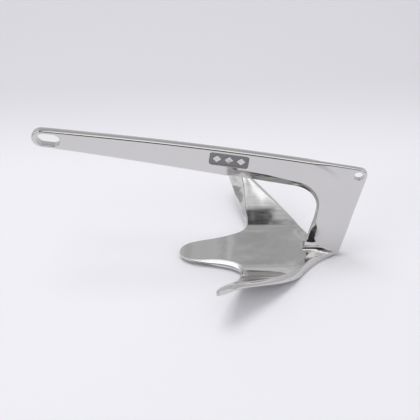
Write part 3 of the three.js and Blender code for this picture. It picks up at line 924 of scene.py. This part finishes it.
FLOOR_HALF = 6.0                          # metres, from the middle to each side
FLOOR_TONES = ((0.80, 0.795, 0.83, 1), (0.82, 0.815, 0.85, 1))
FLOOR_PAINTED_SHADE_TONE = (0.66, 0.655, 0.69, 1)
# painted shade: the floor's colour darkens along an axis, from the first place to the second
# (behind, in front, beside), standing in for the light falling off away from the middle
FLOOR_PAINTED_SHADE_FADES = (("Y", 0.14, 0.36), ("Y", -0.22, -0.42), ("X", -0.27, -0.42))
SOFTBOX_PLACE = (-0.25, 0.1, 1.9)
SOFTBOX_SIZE = (1.1, 0.9)
SOFTBOX_POWER = 16.3


def make_floor():
    mesh = bpy.data.meshes.new("floor")
    far = FLOOR_HALF
    mesh.from_pydata([(-far, -far, 0), (far, -far, 0), (far, far, 0), (-far, far, 0)],
                     [], [(0, 1, 2, 3)])
    floor = bpy.data.objects.new("floor", mesh)
    bpy.context.collection.objects.link(floor)
    material = new_material("pale_floor")
    tree = material.node_tree
    out = add(tree, "ShaderNodeOutputMaterial")
    shader = add(tree, "ShaderNodeBsdfPrincipled")
    shader.inputs["Roughness"].default_value = 0.9
    shader.inputs["Specular IOR Level"].default_value = 0.1
    tree.links.new(shader.outputs["BSDF"], out.inputs["Surface"])
    where = add(tree, "ShaderNodeTexCoord")
    grain = add(tree, "ShaderNodeTexNoise")
    grain.inputs["Scale"].default_value = 3.0
    tree.links.new(where.outputs["Object"], grain.inputs["Vector"])
    colour = add(tree, "ShaderNodeMix", data_type="RGBA")
    colour.inputs["A"].default_value = FLOOR_TONES[0]
    colour.inputs["B"].default_value = FLOOR_TONES[1]
    tree.links.new(grain.outputs["Fac"], colour.inputs["Factor"])
    split = add(tree, "ShaderNodeSeparateXYZ")
    tree.links.new(where.outputs["Object"], split.inputs["Vector"])
    painted_shade_amount = None
    for axis, start, end in FLOOR_PAINTED_SHADE_FADES:
        fade = add(tree, "ShaderNodeMapRange", interpolation_type="SMOOTHSTEP")
        fade.inputs["From Min"].default_value = start
        fade.inputs["From Max"].default_value = end
        tree.links.new(split.outputs[axis], fade.inputs["Value"])
        if painted_shade_amount is None:
            painted_shade_amount = fade.outputs["Result"]
            continue
        larger = add(tree, "ShaderNodeMath", operation="MAXIMUM")
        tree.links.new(painted_shade_amount, larger.inputs[0])
        tree.links.new(fade.outputs["Result"], larger.inputs[1])
        painted_shade_amount = larger.outputs["Value"]
    # painted shade: the floor's colour is mixed towards the darker tone away from the middle
    shade = add(tree, "ShaderNodeMix", data_type="RGBA")
    shade.inputs["B"].default_value = FLOOR_PAINTED_SHADE_TONE
    tree.links.new(painted_shade_amount, shade.inputs["Factor"])
    tree.links.new(colour.outputs["Result"], shade.inputs["A"])
    tree.links.new(shade.outputs["Result"], shader.inputs["Base Color"])
    mesh.materials.append(material)


make_floor()


def area_light(name, place, target, size, power):
    data = bpy.data.lights.new(name, "AREA")
    data.shape = "RECTANGLE"
    data.size, data.size_y = size
    data.energy = power
    light = bpy.data.objects.new(name, data)
    light.location = place
    light.visible_glossy = False
    light.rotation_euler = (Vector(target) - Vector(place)).to_track_quat("-Z", "Y").to_euler()
    bpy.context.collection.objects.link(light)


area_light("overhead_softbox", SOFTBOX_PLACE, (0, 0, 0), SOFTBOX_SIZE, SOFTBOX_POWER)

world = bpy.data.worlds.new("studio")
world.use_nodes = True
tree = world.node_tree
tree.nodes.clear()
link = tree.links.new
sky = add(tree, "ShaderNodeBackground")
ends = add(tree, "ShaderNodeOutputWorld")
link(sky.outputs["Background"], ends.inputs["Surface"])
where = add(tree, "ShaderNodeTexCoord")
split = add(tree, "ShaderNodeSeparateXYZ")
link(where.outputs["Generated"], split.inputs["Vector"])


def ramp_of(stops, value, low, high):
    """A ramp of brightness over value, for stops of (value, brightness)."""
    ramp = add(tree, "ShaderNodeValToRGB")
    elements = ramp.color_ramp.elements
    while len(elements) < len(stops):
        elements.new(1.0)
    for element, (at, level) in zip(elements, stops):
        element.position = (at - low) / (high - low)
        element.color = (level, level, level * 1.01, 1)
    scaled = add(tree, "ShaderNodeMapRange")
    scaled.inputs["From Min"].default_value = low
    scaled.inputs["From Max"].default_value = high
    link(value, scaled.inputs["Value"])
    link(scaled.outputs["Result"], ramp.inputs["Fac"])
    return ramp.outputs["Color"]


# the angle over the studio, from the back wall's foot through the ceiling to the camera's side
angle = add(tree, "ShaderNodeMath", operation="ARCTAN2")
link(split.outputs["Z"], angle.inputs[0])
link(split.outputs["Y"], angle.inputs[1])
degrees = add(tree, "ShaderNodeMath", operation="MULTIPLY")
degrees.inputs[1].default_value = 180 / math.pi
link(angle.outputs["Value"], degrees.inputs[0])
# each stop is a place and a brightness: that angle in degrees for the first two, then the
# direction's X for the rest
MIDDLE_STOPS = ((-30, 0.8), (0, 0.74), (15, 0.68), (32, 0.6), (44, 0.5), (60, 0.5), (80, 0.62),
                (92, 0.85), (102, 1.3), (125, 1.4), (129, 0.5), (133, 0.06), (165, 0.03),
                (180, 0.04))
SIDE_STOPS = ((-30, 0.8), (0, 0.74), (30, 0.66), (60, 0.6), (84, 0.7), (100, 0.8), (112, 0.85),
              (124, 0.95), (130, 1.5), (146, 1.6), (150, 0.4), (180, 0.3))
ACROSS_STOPS = ((-0.42, 1.0), (-0.34, 1.0), (-0.3, 0.0), (0.35, 0.0), (0.5, 1.0))
STAND_STOPS = ((-0.34, 1.0), (-0.31, 0.1), (-0.115, 0.06), (-0.09, 1.0), (-0.062, 1.0),
               (-0.05, 0.5), (-0.034, 0.5), (-0.024, 1.0), (0.3, 1.0))
FRAME_STOPS = ((-0.09, 1.0), (-0.07, 0.1), (-0.042, 0.1), (-0.03, 0.9))
middle = ramp_of(MIDDLE_STOPS, degrees.outputs["Value"], -180, 180)
sides = ramp_of(SIDE_STOPS, degrees.outputs["Value"], -180, 180)
across = ramp_of(ACROSS_STOPS, split.outputs["X"], -1, 1)
both = add(tree, "ShaderNodeMix", data_type="RGBA")
link(across, both.inputs["Factor"])
link(middle, both.inputs["A"])
link(sides, both.inputs["B"])
cloud = add(tree, "ShaderNodeTexNoise")
cloud.inputs["Scale"].default_value = 16.0
cloud.inputs["Detail"].default_value = 1.5
link(where.outputs["Generated"], cloud.inputs["Vector"])
patchy = add(tree, "ShaderNodeMapRange")
patchy.inputs["From Min"].default_value = 0.3
patchy.inputs["From Max"].default_value = 0.7
patchy.inputs["To Min"].default_value = 0.78
patchy.inputs["To Max"].default_value = 1.2
link(cloud.outputs["Fac"], patchy.inputs["Value"])
shaded = add(tree, "ShaderNodeMix", data_type="RGBA", blend_type="MULTIPLY")
shaded.inputs["Factor"].default_value = 1.0


def darkened(colour, stops, start, full, full_end, end):
    """The colour with a dark stand across it, between those angles over the studio."""
    stand = ramp_of(stops, split.outputs["X"], -1, 1)
    span = ramp_of(((start, 0.0), (full, 1.0), (full_end, 1.0), (end, 0.0)),
                   degrees.outputs["Value"], -180, 180)
    mixed = add(tree, "ShaderNodeMix", data_type="RGBA", blend_type="MULTIPLY")
    link(span, mixed.inputs["Factor"])
    link(colour, mixed.inputs["A"])
    link(stand, mixed.inputs["B"])
    return mixed.outputs["Result"]


stands = darkened(both.outputs["Result"], STAND_STOPS, 84, 90, 128, 132)
frames = darkened(stands, FRAME_STOPS, 60, 66, 88, 94)
link(frames, shaded.inputs["A"])
link(patchy.outputs["Result"], shaded.inputs["B"])
link(shaded.outputs["Result"], sky.inputs["Color"])
sky.inputs["Strength"].default_value = 1.0
bpy.context.scene.world = world

# ---- camera -------------------------------------------------------------------------------------

CAMERA_LENS = 100.03
CAMERA_PLACE = (0.12091, -0.95797, 0.87579)
# degrees: above the floor, round from straight ahead, and about its own line of sight
CAMERA_ELEVATION = 40.0
CAMERA_AZIMUTH = 6.87
CAMERA_ROLL = -5.2

lens = bpy.data.cameras.new("camera")
lens.sensor_width = 36.0
lens.lens = CAMERA_LENS
lens.clip_start = 0.01
camera = bpy.data.objects.new("camera", lens)
camera.matrix_world = (
    Matrix.Translation(CAMERA_PLACE)
    @ Matrix.Rotation(math.radians(CAMERA_AZIMUTH), 4, "Z")
    @ Matrix.Rotation(math.radians(90 - CAMERA_ELEVATION), 4, "X")
    @ Matrix.Rotation(math.radians(CAMERA_ROLL), 4, "Z")
)
bpy.context.collection.objects.link(camera)
bpy.context.scene.camera = camera
bpy.context.scene.view_settings.view_transform = "Standard"
